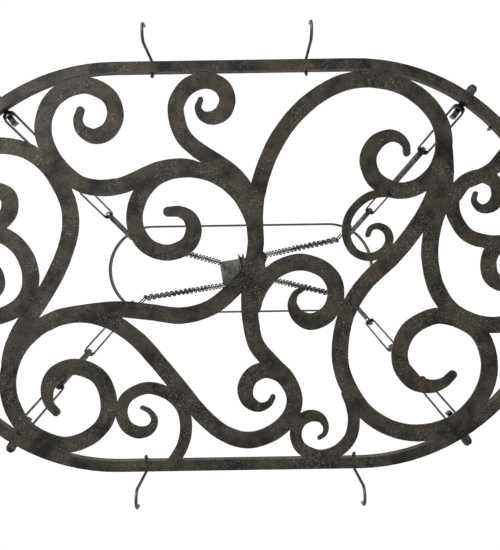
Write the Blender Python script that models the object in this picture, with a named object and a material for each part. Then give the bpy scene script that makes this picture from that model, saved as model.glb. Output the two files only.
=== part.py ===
"""Oval scroll-work pot rack, hung from a ceiling plate that carries a pulley.

Metres, +Z up. The origin is the centre of the ceiling plate's top face. X runs along the rack.
"""

import math

import bmesh
import bpy
from mathutils import Matrix, Vector

MM = 0.001

# Clearances
GAP = 0.0003  # between pieces that touch
SEAT_GAP = 0.0014  # between a lug's tongue and the flat link under it
TILT_GAP = 0.0026  # between the hoop's strip and the flat link that leans over it
FLAT_WELD = 0.0022  # how far one flat link sinks into the next, for the same reason
LINK_FREE = 0.0024  # between the last link of a chain and what it hangs on

# Ceiling plate and its fixings
PLATE_LENGTH = 0.145
PLATE_WIDTH = 0.080
PLATE_THICK = 0.005
PLATE_TURN = math.radians(-8.5)
SCREW_SPACING = 0.092
SCREW_RADIUS = 0.0025
SCREW_HEAD_RADIUS = 0.0052
SCREW_HEAD_HEIGHT = 0.003
EYE_INSET = 0.003
EYE_RADIUS = 0.0072
EYE_WIRE = 0.0032

# Pulley under the plate
SHEAVE_RADIUS = 0.052
SHEAVE_WIDTH = 0.018
SHEAVE_GROOVE = 0.009
SHEAVE_PLATE_GAP = 0.010
AXLE_RADIUS = 0.005
AXLE_HEAD_RADIUS = 0.008
AXLE_HEAD_THICK = 0.003
BRACKET_THICK = 0.003
BRACKET_WIDTH = 0.034
BRACKET_SIDE_GAP = 0.002
BRACKET_BELOW_AXLE = 0.014

# Hoop that spreads the chains
HOOP_WIDTH = 0.200
HOOP_STRAIGHT = 0.400
HOOP_HEIGHT = 0.024
HOOP_THICK = 0.003
HOOP_DROP = 0.620  # plate top to the middle of the hoop
HOOP_ANGLE = math.radians(56)  # where the four corners hang, round each end

# Upper chains and the hooks on the hoop
CHAIN_WIRE = 0.0036
LINK_WELD = CHAIN_WIRE / 4  # how far one link sinks into the next, which makes a chain one body
CHAIN_LINK_WIDTH = 0.020
CHAIN_LINKS = 25  # odd, so that the first and last lie the same way
HOOP_HOOK_WIRE = 0.0033
HOOP_HOOK_HALF_WIDTH = 0.009
HOOP_HOOK_TOP_RADIUS = 0.0085
HOOP_HOOK_RISE = 0.046  # top of the hoop to the top of the hook
HOOP_HOOK_LEAN = 0.022  # how far the top of the hook leans in along the rack, towards the plate
HOOP_HOOK_SIDE_LEAN = 0.020  # and across the rack
HOOP_HOOK_SHIFT = 0.0075  # hook to the middle of the flat links, along the hoop

# Rack ring
RACK_DROP = 1.140  # plate top to the underside of the ring
RING_WIDTH = 0.610
RING_STRAIGHT = 0.356
RING_BAR = 0.016
RING_DEPTH = 0.014

# Lugs on the ring and the long flat links above them
LUG_ANGLES = (math.radians(55), math.radians(58.4))  # far side, near side
LUG_WIDTH = 0.014
LUG_THICK = 0.004
LUG_OUTSIDE = 0.020
LUG_INSIDE = 0.022
TONGUE_WIDTH = 0.0085
TONGUE_STOP = 0.008
LINK_SEAT = 0.009  # link centre to the inner wall of the ring
FLAT_LINKS = 4
FLAT_LINK_WIDTH = 0.0202
FLAT_THICK = 0.003
FLAT_WIDE = 0.008

# Scroll work
SCROLL_THICK = 0.005
SCROLL_STEP = math.radians(15)
SCROLL_REACH = 0.045
# Name, half width at the tip, half width, length of the taper, half width at the far tip
# (0 where it ends on another piece), and the points that the centre line runs through, in mm.
SCROLLS = (
    ("scroll_arch", 5.2, 12.3, 74, 0.0, (
        (257, -163), (256, -174), (247, -185), (232, -189), (211, -179), (199, -156), (207, -127),
        (227, -112), (250, -107), (277, -115), (300, -136), (312, -169), (309, -203), (289, -236),
        (252, -263), (206, -274), (163, -269), (123, -249), (88, -218), (62, -182), (44, -143),
        (32, -100), (29, -63), (30, -32), (24, 5), (19, 43), (20, 78), (28, 118), (48, 144),
        (72, 169), (82, 188),
    )),
    ("scroll_inner_left", 7.4, 12.2, 59, 0.0, (
        (-100, -81), (-83, -81), (-68, -72), (-62, -54), (-71, -32), (-101, -20), (-131, -30),
        (-148, -56), (-149, -84), (-136, -114), (-111, -136), (-74, -144), (-32, -136), (2, -111),
        (19, -86), (32, -51),
    )),
    ("scroll_long", 4.0, 12.0, 67, 5.9, (
        (52, 197), (46, 207), (31, 212), (15, 202), (11, 184), (21, 165), (41, 157), (64, 164),
        (80, 184), (84, 206), (74, 231), (48, 252), (14, 261), (-20, 251), (-52, 225), (-85, 184),
        (-118, 143), (-150, 107), (-190, 80), (-236, 70), (-282, 81), (-321, 112), (-341, 154),
        (-340, 195), (-319, 236), (-285, 258), (-257, 264), (-222, 253), (-198, 229), (-193, 196),
        (-207, 163), (-240, 148), (-268, 155), (-283, 177), (-282, 201), (-271, 215),
    )),
    ("scroll_bottom_right", 6.4, 12.2, 67, 0.0, (
        (320, 168), (308, 179), (288, 185), (262, 178), (245, 157), (242, 130), (255, 102),
        (278, 86), (302, 80), (333, 88), (361, 108), (374, 141), (373, 174), (357, 208), (323, 240),
        (275, 254), (234, 249), (195, 227), (169, 193), (155, 158), (153, 124), (164, 74),
        (191, 31), (235, -10), (259, -38), (282, -71), (299, -105), (310, -139),
    )),
    ("scroll_low_link", 12.2, 12.2, 15, 0.0, (
        (34, -10), (21, 9), (-1, 33), (-37, 62), (-81, 74), (-129, 68), (-176, 63), (-224, 68),
    )),
    ("scroll_top_left", 5.9, 12.2, 67, 0.0, (
        (-228, -234), (-232, -220), (-227, -205), (-208, -195), (-187, -203), (-176, -227),
        (-185, -254), (-217, -271), (-247, -266), (-269, -251), (-282, -226), (-284, -200),
        (-275, -172), (-256, -145), (-231, -125), (-203, -118), (-169, -121), (-141, -132),
        (-112, -144), (-81, -148), (-51, -139),
    )),
    ("scroll_top", 4.2, 12.2, 62, 0.0, (
        (-49, -247), (-53, -235), (-46, -223), (-31, -220), (-16, -228), (-9, -247), (-17, -266),
        (-40, -276), (-68, -267), (-85, -242), (-85, -220), (-76, -194), (-58, -175), (-33, -158),
        (-8, -141), (11, -120), (22, -96),
    )),
    ("scroll_inner_right", 3.9, 12.5, 74, 0.0, (
        (100, 36), (88, 44), (83, 59), (91, 77), (110, 86), (134, 76), (147, 54), (146, 29),
        (131, 9), (97, -3), (65, 5), (43, 23), (29, 46), (21, 73),
    )),
    ("scroll_left", 12.2, 12.2, 15, 0.0, (
        (-440, -139), (-419, -159), (-392, -176), (-363, -183), (-333, -182), (-305, -173),
        (-278, -151), (-258, -120), (-247, -90), (-246, -56), (-257, -17), (-277, 24), (-301, 61),
        (-324, 93), (-339, 124),
    )),
    ("scroll_bottom_left", 3.0, 8.9, 67, 0.0, (
        (-143, 210), (-133, 215), (-125, 228), (-131, 242), (-148, 247), (-166, 238), (-174, 217),
        (-166, 195), (-136, 181), (-104, 190), (-84, 211), (-78, 238), (-83, 266), (-103, 300),
    )),
    ("scroll_bottom", 3.0, 8.9, 59, 0.0, (
        (120, 259), (128, 253), (130, 242), (123, 230), (109, 226), (93, 233), (85, 252), (92, 273),
        (119, 286), (147, 279), (166, 260), (172, 234), (169, 211), (160, 187),
    )),
    ("scroll_slim", 3.9, 6.2, 52, 0.0, (
        (197, -42), (201, -51), (212, -55), (225, -48), (229, -34), (222, -19), (201, -9),
        (178, -16), (166, -36), (167, -64), (180, -85), (201, -100), (226, -104), (248, -100),
    )),
    ("scroll_right", 12.3, 12.3, 15, 0.0, (
        (313, -166), (314, -129), (309, -96), (296, -59), (289, -22), (290, 6), (298, 39),
        (318, 70), (352, 90), (389, 95), (428, 84), (461, 59),
    )),
    ("scroll_right_small", 3.6, 10.1, 62, 0.0, (
        (358, -101), (356, -90), (366, -79), (381, -81), (392, -96), (388, -117), (369, -127),
        (343, -120), (326, -99), (324, -77), (332, -56), (346, -39), (370, -30), (398, -29),
        (431, -38), (473, -54),
    )),
    ("scroll_right_brace", 10.7, 10.7, 15, 0.0, (
        (328, -99), (342, -117), (361, -125), (384, -137), (402, -157), (419, -176),
    )),
    ("scroll_right_end", 4.5, 11.6, 67, 0.0, (
        (398, 5), (408, -1), (418, 9), (414, 27), (397, 34), (381, 25), (376, 7), (380, -12),
        (397, -29),
    )),
    ("scroll_left_small", 4.5, 12.2, 59, 0.0, (
        (-368, -86), (-379, -93), (-376, -109), (-358, -117), (-338, -108), (-337, -85),
        (-352, -68), (-379, -62), (-416, -70), (-447, -86), (-474, -107),
    )),
    ("scroll_left_end", 5.6, 12.3, 134, 0.0, (
        (-376, 36), (-364, 40), (-354, 32), (-352, 18), (-358, 3), (-376, -7), (-399, -7),
        (-422, 8), (-430, 32), (-415, 57), (-378, 73), (-335, 64), (-313, 44), (-306, 19),
        (-309, -6), (-320, -28), (-338, -45), (-364, -55), (-406, -55), (-448, -44), (-475, -33),
    )),
)

# Pot hooks
POT_WIRE = 0.0045
POT_BEND = RING_BAR / 2 + 0.0038
POT_TIP_ABOVE = 0.003  # tip to the top of the scroll work
POT_LOWER_BEND = 0.013
POT_DROP = 0.080  # below the ring
# (end of the ring or 0 for a straight side, place along the side in mm or angle, side)
POT_PLACES = (
    ("straight", -0.122, -1),
    ("straight", 0.110, -1),
    ("straight", -0.140, 1),
    ("straight", 0.173, 1),
    ("cap", math.radians(-44), 1),
    ("cap", math.radians(12), 1),
    ("cap", math.radians(-16), -1),
    ("cap", math.radians(24), -1),
)

CHAIN_SIDES = 3
CHAIN_CORNER = 0.66 * CHAIN_WIRE  # a three-sided wire of about the round one's area
EYE_SIDES = 5
HOOK_SIDES = 6
CAP_STEPS = 20
WHEEL_STEPS = 22

UP = Vector((0, 0, 1))


# ---------------------------------------------------------------- scene and materials


def clear_scene():
    for obj in list(bpy.data.objects):
        bpy.data.objects.remove(obj, do_unlink=True)


def material(name, colour, roughness, metallic):
    made = bpy.data.materials.new(name)
    made.use_nodes = True
    shader = made.node_tree.nodes["Principled BSDF"]
    shader.inputs["Base Color"].default_value = (*colour, 1)
    shader.inputs["Roughness"].default_value = roughness
    shader.inputs["Metallic"].default_value = metallic
    return made


def empty(name, place, parent=None):
    made = bpy.data.objects.new(name, None)
    bpy.context.scene.collection.objects.link(made)
    made.empty_display_size = 0.05
    attach(made, place, parent)
    return made


def attach(obj, place, parent):
    """Puts the object's origin at a world place, turned with the world, under a parent."""
    obj.parent = parent
    start = Vector(place)
    if parent is not None:
        start = Vector(place) - Vector(parent["place"])
    obj.location = start
    obj["place"] = tuple(place)


def add(name, bm, mat, parent=None, pivot=(0, 0, 0), smooth=0):
    """Makes the node: the mesh is given in world places and stored round its pivot."""
    pivot = Vector(pivot)
    bmesh.ops.recalc_face_normals(bm, faces=bm.faces[:])
    if signed_volume(bm) < 0:
        bmesh.ops.reverse_faces(bm, faces=bm.faces[:])
    bmesh.ops.translate(bm, verts=bm.verts[:], vec=-pivot)
    mesh = bpy.data.meshes.new(name)
    bm.to_mesh(mesh)
    bm.free()
    mesh.materials.append(mat)
    obj = bpy.data.objects.new(name, mesh)
    bpy.context.scene.collection.objects.link(obj)
    attach(obj, pivot, parent)
    if smooth:
        mesh.shade_smooth()
        mesh.set_sharp_from_angle(angle=math.radians(smooth))
    return obj


def signed_volume(bm):
    total = 0
    for face in bm.faces:
        first = face.verts[0].co
        for a, b in zip(face.verts[1:-1], face.verts[2:]):
            total += first.dot(a.co.cross(b.co))
    return total


def cutter(name, bm):
    obj = add(name, bm, MATERIALS["iron"])
    obj.hide_render = True
    obj.display_type = "WIRE"
    return obj


def boolean(obj, other, operation):
    modifier = obj.modifiers.new(f"{operation.lower()} {other.name}", "BOOLEAN")
    modifier.operation = operation
    modifier.solver = "EXACT"
    modifier.object = other


# ---------------------------------------------------------------- building shapes


def loft(bm, sections, closed=False):
    """Skins a row of equal loops of points, and closes its ends unless it is a ring."""
    rows = [[bm.verts.new(point) for point in section] for section in sections]
    pairs = list(zip(rows, rows[1:]))
    if closed:
        pairs.append((rows[-1], rows[0]))
    for low, high in pairs:
        for i in range(len(low)):
            j = (i + 1) % len(low)
            bm.faces.new((low[i], low[j], high[j], high[i]))
    if not closed:
        bm.faces.new(rows[0][::-1])
        bm.faces.new(rows[-1])
    return bm


def tube(bm, points, radius, sides, closed=False, side=None):
    """A round wire along the points. The side vector is square to the plane of the path."""
    sections = []
    count = len(points)
    for i, point in enumerate(points):
        before = points[i - 1] if i or closed else point
        after = points[(i + 1) % count] if i < count - 1 or closed else point
        along = (after - before).normalized()
        first = side.normalized()
        second = along.cross(first).normalized()
        turn = [2 * math.pi * (k + 0.5) / sides for k in range(sides)]
        sections.append(
            [point + radius * (math.cos(a) * first + math.sin(a) * second) for a in turn]
        )
    return loft(bm, sections, closed)


def strip(bm, points, thick, wide, closed, side):
    """A flat strip along the points: thin in the plane of the path and wide across it."""
    sections = []
    count = len(points)
    for i, point in enumerate(points):
        before = points[i - 1] if i or closed else point
        after = points[(i + 1) % count] if i < count - 1 or closed else point
        along = (after - before).normalized()
        out = along.cross(side).normalized() * thick / 2
        across = side.normalized() * wide / 2
        sections.append(
            [point + out + across, point - out + across, point - out - across, point + out - across]
        )
    return loft(bm, sections, closed)


def prism(bm, outline, low, high):
    """An outline in X and Y, carried from one height to another."""
    sections = [[Vector((x, y, z)) for x, y in outline] for z in (low, high)]
    return loft(bm, sections)


def stadium(radius, straight, steps=CAP_STEPS):
    """Points round an oval of two half circles joined by straight sides."""
    points = []
    for end in (1, -1):
        for i in range(steps + 1):
            angle = math.pi * (i / steps - 0.5) + (0 if end > 0 else math.pi)
            points.append(
                Vector((end * straight / 2 + radius * math.cos(angle), radius * math.sin(angle), 0))
            )
    return points


def oval_bar(bm, radius, straight, width, low, high):
    """A bar of rectangular section bent into an oval. The radius is its outer one."""
    outer = stadium(radius, straight)
    inner = stadium(radius - width, straight)
    sections = []
    for far, near in zip(outer, inner):
        sections.append([near + UP * low, far + UP * low, far + UP * high, near + UP * high])
    return loft(bm, sections, closed=True)


def lathe(bm, profile, centre, axis, steps=WHEEL_STEPS):
    """Turns a closed profile of (radius, place along the axis) into a wheel."""
    first = axis.cross(UP).normalized()
    second = axis.cross(first).normalized()
    sections = []
    for i in range(steps):
        angle = 2 * math.pi * i / steps
        out = math.cos(angle) * first + math.sin(angle) * second
        sections.append([centre + out * radius + axis * along for radius, along in profile])
    return loft(bm, sections, closed=True)


def rod(bm, profile, centre, axis, steps=16):
    """Turns an open profile of (radius, place along the axis) into a solid rod."""
    first = axis.cross(UP)
    if first.length < 0.01:
        first = Vector((1, 0, 0))
    first = first.normalized()
    second = axis.cross(first).normalized()
    turn = [2 * math.pi * i / steps for i in range(steps)]
    sections = []
    for radius, along in profile:
        middle = centre + axis * along
        sections.append(
            [middle + radius * (math.cos(a) * first + math.sin(a) * second) for a in turn]
        )
    return loft(bm, sections)


def smooth_curve(points, pieces=12):
    """A centripetal Catmull-Rom curve through the points."""
    ends = [2 * points[0] - points[1], *points, 2 * points[-1] - points[-2]]
    curve = []
    for i in range(1, len(ends) - 2):
        p = ends[i - 1 : i + 3]
        t = [0]
        for a, b in zip(p, p[1:]):
            t.append(t[-1] + (b - a).length ** 0.5)
        for k in range(pieces):
            x = t[1] + (t[2] - t[1]) * k / pieces
            a = [p[j].lerp(p[j + 1], (x - t[j]) / (t[j + 1] - t[j])) for j in range(3)]
            b = [a[j].lerp(a[j + 1], (x - t[j]) / (t[j + 2] - t[j])) for j in range(2)]
            curve.append(b[0].lerp(b[1], (x - t[1]) / (t[2] - t[1])))
    curve.append(points[-1])
    return curve


# ---------------------------------------------------------------- places that pieces share

PLATE_UNDER = -PLATE_THICK
PLATE_LONG = Vector((math.cos(PLATE_TURN), math.sin(PLATE_TURN), 0))
PLATE_CROSS = Vector((-math.sin(PLATE_TURN), math.cos(PLATE_TURN), 0))
AXLE_CENTRE = Vector((0, 0, PLATE_UNDER - SHEAVE_PLATE_GAP - SHEAVE_RADIUS))
HOOP_RADIUS = HOOP_WIDTH / 2
HOOP_MIDDLE_RADIUS = HOOP_RADIUS - HOOP_THICK / 2
RING_RADIUS = RING_WIDTH / 2
HOOK_ANGLE = HOOP_ANGLE + HOOP_HOOK_SHIFT / HOOP_MIDDLE_RADIUS
RING_MIDDLE_RADIUS = RING_RADIUS - RING_BAR / 2
RING_INNER_RADIUS = RING_RADIUS - RING_BAR
RING_UNDER = -RACK_DROP
RING_TOP = RING_UNDER + RING_DEPTH
CORNERS = ((1, -1), (1, 1), (-1, -1), (-1, 1))


def outward(corner, angle):
    """Level direction that points out of an oval at a corner."""
    return Vector((corner[0] * math.cos(angle), corner[1] * math.sin(angle), 0))


def hoop_place(corner, angle=HOOP_ANGLE):
    end = Vector((corner[0] * HOOP_STRAIGHT / 2, 0, -HOOP_DROP))
    return end + outward(corner, angle) * HOOP_MIDDLE_RADIUS


def lug_angle(corner):
    return LUG_ANGLES[0] if corner[1] < 0 else LUG_ANGLES[1]


def ring_place(corner, radius, height):
    end = Vector((corner[0] * RING_STRAIGHT / 2, 0, height))
    return end + outward(corner, lug_angle(corner)) * radius


def eye_centre(corner):
    along = PLATE_LONG * corner[0] * (PLATE_LENGTH / 2 - EYE_INSET)
    across = PLATE_CROSS * corner[1] * (PLATE_WIDTH / 2 - EYE_INSET)
    drop = EYE_RADIUS + EYE_WIRE / 2 + GAP
    return along + across + UP * (PLATE_UNDER - drop)


def lean_way(corner):
    """How far and which way the top of a hook leans from its foot, in towards the plate."""
    return Vector((-corner[0] * HOOP_HOOK_LEAN, -corner[1] * HOOP_HOOK_SIDE_LEAN, 0))


def hook_top(corner):
    top = hoop_place(corner, HOOK_ANGLE) + UP * (HOOP_HEIGHT / 2 + HOOP_HOOK_RISE)
    return top + lean_way(corner)


def chain_line(corner):
    """Start, end and direction of an upper chain, between its eye and its hook."""
    start = eye_centre(corner)
    end = hook_top(corner)
    along = (end - start).normalized()
    return start + along * EYE_RADIUS, end, along


def side_frame(along):
    """Two directions square to a line that hangs: one level, one across it."""
    level = UP.cross(along).normalized()
    return level, along.cross(level).normalized()


# ---------------------------------------------------------------- ceiling plate and pulley


def make_plate(parent):
    half = (PLATE_LENGTH / 2, PLATE_WIDTH / 2)
    corners = [(-1, -1), (1, -1), (1, 1), (-1, 1)]
    outline = []
    for x, y in corners:
        place = PLATE_LONG * x * half[0] + PLATE_CROSS * y * half[1]
        outline.append((place.x, place.y))
    plate = add("ceiling_plate", prism(bmesh.new(), outline, PLATE_UNDER, 0), MATERIALS["plate"], parent)
    for side in (-1, 1):
        centre = PLATE_LONG * side * SCREW_SPACING / 2
        bore = [(SCREW_RADIUS + GAP, -2 * PLATE_THICK), (SCREW_RADIUS + GAP, PLATE_THICK)]
        hole = cutter(f"screw_hole_{(side + 3) // 2}", rod(bmesh.new(), bore, centre, UP))
        boolean(plate, hole, "DIFFERENCE")


def make_screws(parent):
    head = PLATE_UNDER - GAP
    profile = [
        (SCREW_HEAD_RADIUS * 0.6, head - SCREW_HEAD_HEIGHT),
        (SCREW_HEAD_RADIUS, head - SCREW_HEAD_HEIGHT * 0.5),
        (SCREW_HEAD_RADIUS, head),
        (SCREW_RADIUS, head),
        (SCREW_RADIUS, -GAP),
    ]
    for number, side in enumerate((-1, 1), 1):
        centre = PLATE_LONG * side * SCREW_SPACING / 2
        bm = rod(bmesh.new(), profile, centre, UP, 12)
        add(f"ceiling_screw_{number}", bm, MATERIALS["dark"], parent, smooth=40)


def make_eyes(parent):
    for number, corner in enumerate(CORNERS, 1):
        centre = eye_centre(corner)
        along = chain_line(corner)[2]
        level, across = side_frame(along)
        points = []
        for i in range(12):
            angle = 2 * math.pi * i / 12
            points.append(centre + EYE_RADIUS * (math.cos(angle) * along + math.sin(angle) * across))
        bm = tube(bmesh.new(), points, EYE_WIRE / 2, EYE_SIDES, True, level)
        add(f"corner_eye_{number}", bm, MATERIALS["chain"], parent, smooth=50)


def make_bracket(parent):
    inside = SHEAVE_WIDTH / 2 + BRACKET_SIDE_GAP
    outside = inside + BRACKET_THICK
    top = PLATE_UNDER - GAP
    low = AXLE_CENTRE.z - BRACKET_BELOW_AXLE
    shape = [
        (-outside, low),
        (-inside, low),
        (-inside, top - BRACKET_THICK),
        (inside, top - BRACKET_THICK),
        (inside, low),
        (outside, low),
        (outside, top),
        (-outside, top),
    ]
    sections = []
    for side in (-1, 1):
        across = PLATE_CROSS * side * BRACKET_WIDTH / 2
        sections.append([PLATE_LONG * x + across + UP * z for x, z in shape])
    bracket = add("pulley_bracket", loft(bmesh.new(), sections), MATERIALS["dark"], parent)
    bore = [(AXLE_RADIUS + GAP, -2 * outside), (AXLE_RADIUS + GAP, 2 * outside)]
    hole = cutter("axle_hole", rod(bmesh.new(), bore, AXLE_CENTRE, PLATE_LONG))
    boolean(bracket, hole, "DIFFERENCE")
    return outside


def make_axle(parent, outside):
    inner = outside + GAP
    end = inner + AXLE_HEAD_THICK
    profile = [
        (AXLE_HEAD_RADIUS, -end),
        (AXLE_HEAD_RADIUS, -inner),
        (AXLE_RADIUS, -inner),
        (AXLE_RADIUS, inner),
        (AXLE_HEAD_RADIUS, inner),
        (AXLE_HEAD_RADIUS, end),
    ]
    bm = rod(bmesh.new(), profile, AXLE_CENTRE, PLATE_LONG)
    add("pulley_axle", bm, MATERIALS["dark"], parent, smooth=40)


def make_sheave(parent):
    half = SHEAVE_WIDTH / 2
    bottom = SHEAVE_RADIUS - SHEAVE_GROOVE
    profile = [
        (AXLE_RADIUS + 2 * GAP, -half),
        (SHEAVE_RADIUS * 0.3, -half),
        (SHEAVE_RADIUS * 0.34, -half * 0.55),
        (bottom - 0.006, -half * 0.55),
        (bottom - 0.002, -half),
        (SHEAVE_RADIUS, -half),
        (SHEAVE_RADIUS, -half * 0.75),
        (bottom, -half * 0.3),
        (bottom, half * 0.3),
        (SHEAVE_RADIUS, half * 0.75),
        (SHEAVE_RADIUS, half),
        (bottom - 0.002, half),
        (bottom - 0.006, half * 0.55),
        (SHEAVE_RADIUS * 0.34, half * 0.55),
        (SHEAVE_RADIUS * 0.3, half),
        (AXLE_RADIUS + 2 * GAP, half),
    ]
    add(
        "pulley_sheave",
        lathe(bmesh.new(), profile, AXLE_CENTRE, PLATE_LONG),
        MATERIALS["dark"],
        parent,
        AXLE_CENTRE,
        smooth=35,
    )


# ---------------------------------------------------------------- chains, hooks and hoop


def link_path(centre, along, across, length, width, bend_steps):
    """Centre line of one long link: two half circles joined by straight sides."""
    radius = width / 2
    straight = length - width
    points = []
    for end in (1, -1):
        for i in range(bend_steps + 1):
            angle = math.pi * (i / bend_steps - 0.5) + (0 if end > 0 else math.pi)
            points.append(
                centre
                + along * (end * straight / 2 + radius * math.cos(angle))
                + across * radius * math.sin(angle)
            )
    return points


def make_chain(number, corner, parent):
    start, end, along = chain_line(corner)
    level, across = side_frame(along)
    free = CHAIN_WIRE + LINK_FREE
    hold = CHAIN_WIRE - LINK_WELD
    reach = (end - start).length + 2 * free
    length = (reach + (CHAIN_LINKS - 1) * hold) / CHAIN_LINKS
    halves = (bmesh.new(), bmesh.new())
    hook_side = outward(corner, HOOK_ANGLE).cross(UP)
    twist = math.atan2(hook_side.dot(across), hook_side.dot(level))
    twist -= math.pi * round(twist / math.pi)
    for k in range(CHAIN_LINKS):
        centre = start + along * ((length - hold) * k + length / 2 - free)
        turn = k * math.pi / 2 + twist * k / (CHAIN_LINKS - 1)
        wide = math.cos(turn) * level + math.sin(turn) * across
        path = link_path(centre, along, wide, length, CHAIN_LINK_WIDTH - CHAIN_WIRE, 2)
        tube(halves[k % 2], path, CHAIN_CORNER, CHAIN_SIDES, True, along.cross(wide))
    name = f"upper_chain_{number}"
    chain = add(name, halves[0], MATERIALS["chain"], parent, start)
    boolean(chain, cutter(f"{name}_links", halves[1]), "UNION")


def make_hoop_hook(number, corner, parent):
    """S-hook whose lower loop goes round the hoop's strip and whose upper loop holds the chain."""
    place = hoop_place(corner, HOOK_ANGLE)
    out = outward(corner, HOOK_ANGLE)
    half = HOOP_HOOK_HALF_WIDTH
    wire = HOOP_HOOK_WIRE
    under = HOOP_HEIGHT / 2 + GAP + wire / 2
    top = HOOP_HEIGHT / 2 + HOOP_HOOK_RISE
    bend = HOOP_HOOK_TOP_RADIUS
    centre = top - bend
    outline = [
        (-half * 0.95, under * 0.45),
        (-half, 0),
        (-half * 0.85, -under * 0.6),
        (-half * 0.45, -under * 0.93),
        (0, -under),
        (half * 0.45, -under * 0.93),
        (half * 0.85, -under * 0.6),
        (half, 0),
        (half * 0.9, under * 0.7),
        (half * 0.35, under + wire),
        (-bend * 0.85, centre - bend * 0.5),
        (-bend, centre),
        (-bend * 0.71, centre + bend * 0.71),
        (0, top),
        (bend * 0.71, centre + bend * 0.71),
        (bend, centre),
        (bend * 0.9, centre - bend * 0.45),
    ]
    points = []
    for x, z in outline:
        share = max(0, z - HOOP_HEIGHT / 2) / HOOP_HOOK_RISE
        points.append(place + out * x + UP * z + lean_way(corner) * share)
    bm = tube(bmesh.new(), points, wire / 2, HOOK_SIDES, False, out.cross(UP))
    add(f"hoop_hook_{number}", bm, MATERIALS["chain"], parent, smooth=60)


def make_hoop(parent):
    low = -HOOP_DROP - HOOP_HEIGHT / 2
    bm = oval_bar(bmesh.new(), HOOP_RADIUS, HOOP_STRAIGHT, HOOP_THICK, low, low + HOOP_HEIGHT)
    add("hoop", bm, MATERIALS["strip"], parent, smooth=30)


# ---------------------------------------------------------------- lugs and flat links


def lug_seat(corner):
    """Where the first flat link goes round the tongue of a lug."""
    return ring_place(corner, RING_INNER_RADIUS - LINK_SEAT, RING_TOP + GAP)


def run_line(corner):
    """Lower and upper ends of the centre lines of the flat links, and their direction."""
    seat = lug_seat(corner)
    hoop = hoop_place(corner)
    along = (hoop - seat).normalized()
    inner = (FLAT_LINK_WIDTH - 2 * FLAT_THICK) / 2
    tilt = math.acos(along.z)
    corner_depth = inner - math.sqrt(inner**2 - (TONGUE_WIDTH / 2) ** 2)
    below = corner_depth + FLAT_WIDE / 2 * math.sin(tilt) + SEAT_GAP + FLAT_THICK / 2
    edge = HOOP_HEIGHT / 2 * math.sin(tilt) + HOOP_THICK / 2
    above = HOOP_HEIGHT / 2 * math.cos(tilt) + inner - math.sqrt(inner**2 - edge**2)
    return seat - along * below, hoop + along * (above + TILT_GAP + FLAT_THICK / 2), along


def make_run(number, corner, parent):
    start, end, along = run_line(corner)
    out = outward(corner, HOOP_ANGLE)
    flat = (out - along * out.dot(along)).normalized()
    level = along.cross(flat).normalized()
    inner = (FLAT_LINK_WIDTH - 2 * FLAT_THICK) / 2
    nest = 2 * (inner - math.sqrt(inner**2 - (FLAT_WIDE / 2) ** 2))
    hold = FLAT_THICK + nest - FLAT_WELD
    length = ((end - start).length + (FLAT_LINKS - 1) * hold) / FLAT_LINKS
    halves = (bmesh.new(), bmesh.new())
    for k in range(FLAT_LINKS):
        centre = start + along * ((length - hold) * k + length / 2)
        wide = flat if k % 2 else level
        path = link_path(centre, along, wide, length, FLAT_LINK_WIDTH - FLAT_THICK, 5)
        strip(halves[k % 2], path, FLAT_THICK, FLAT_WIDE, True, along.cross(wide))
    name = f"flat_links_{number}"
    run = add(name, halves[0], MATERIALS["strip"], parent, end)
    boolean(run, cutter(f"{name}_others", halves[1]), "UNION")


def make_lug(number, corner, parent):
    out = outward(corner, lug_angle(corner))
    side = UP.cross(out)
    low = RING_TOP + GAP
    middle = ring_place(corner, RING_MIDDLE_RADIUS, low)
    outer = RING_BAR / 2 + LUG_OUTSIDE
    inner = -RING_BAR / 2 - LUG_INSIDE
    shape = [
        (inner, TONGUE_WIDTH / 2),
        (-RING_BAR / 2, TONGUE_WIDTH / 2),
        (0, LUG_WIDTH / 2),
        (outer - LUG_WIDTH / 2, LUG_WIDTH / 2),
        (outer - LUG_WIDTH / 6, LUG_WIDTH / 3),
        (outer, LUG_WIDTH / 9),
    ]
    outline = [middle + out * x + side * y for x, y in shape]
    outline += [middle + out * x - side * y for x, y in reversed(shape)]
    lug = add(
        f"hanger_lug_{number}",
        loft(bmesh.new(), [outline, [point + UP * LUG_THICK for point in outline]]),
        MATERIALS["strip"],
        parent,
    )
    block = [(inner, -1), (inner + LUG_THICK, -1), (inner + LUG_THICK, 1), (inner, 1)]
    foot = [middle + out * x + side * y * TONGUE_WIDTH / 2 for x, y in block]
    rise = UP * (LUG_THICK / 2)
    stop = cutter(
        f"lug_stop_{number}",
        loft(bmesh.new(), [[p + rise for p in foot], [p + UP * (LUG_THICK + TONGUE_STOP) for p in foot]]),
    )
    boolean(lug, stop, "UNION")


# ---------------------------------------------------------------- ring and scroll work


def make_ring(parent):
    bm = oval_bar(bmesh.new(), RING_RADIUS, RING_STRAIGHT, RING_BAR, RING_UNDER, RING_TOP)
    add("rack_ring", bm, MATERIALS["iron"], parent, smooth=30)


def taper(distance, length, tip, full):
    share = min(max(distance / length, 0), 1)
    return tip + (full - tip) * share * share * (3 - 2 * share)


def scroll_sections(tip, full, length, far_tip, places):
    """Centre, direction and half width along one scroll, closer together where it turns."""
    curve = smooth_curve([Vector((x * MM, y * MM, 0)) for x, y in places])
    run = [0]
    for a, b in zip(curve, curve[1:]):
        run.append(run[-1] + (b - a).length)
    rows = []
    last = None
    for i, point in enumerate(curve):
        way = (curve[min(i + 1, len(curve) - 1)] - curve[max(i - 1, 0)]).normalized()
        if last is not None and i < len(curve) - 1:
            turned = way.angle(last[0]) >= SCROLL_STEP
            if not turned and run[i] - last[1] < SCROLL_REACH:
                continue
        width = taper(run[i], length * MM, tip * MM, full * MM)
        if far_tip:
            width = min(width, taper(run[-1] - run[i], length * MM, far_tip * MM, full * MM))
        rows.append((point, way, width))
        last = (way, run[i])
    rows = rounded_tip(rows[0], -1) + rows
    if far_tip:
        rows += rounded_tip(rows[-1], 1)
    return rows


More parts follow.
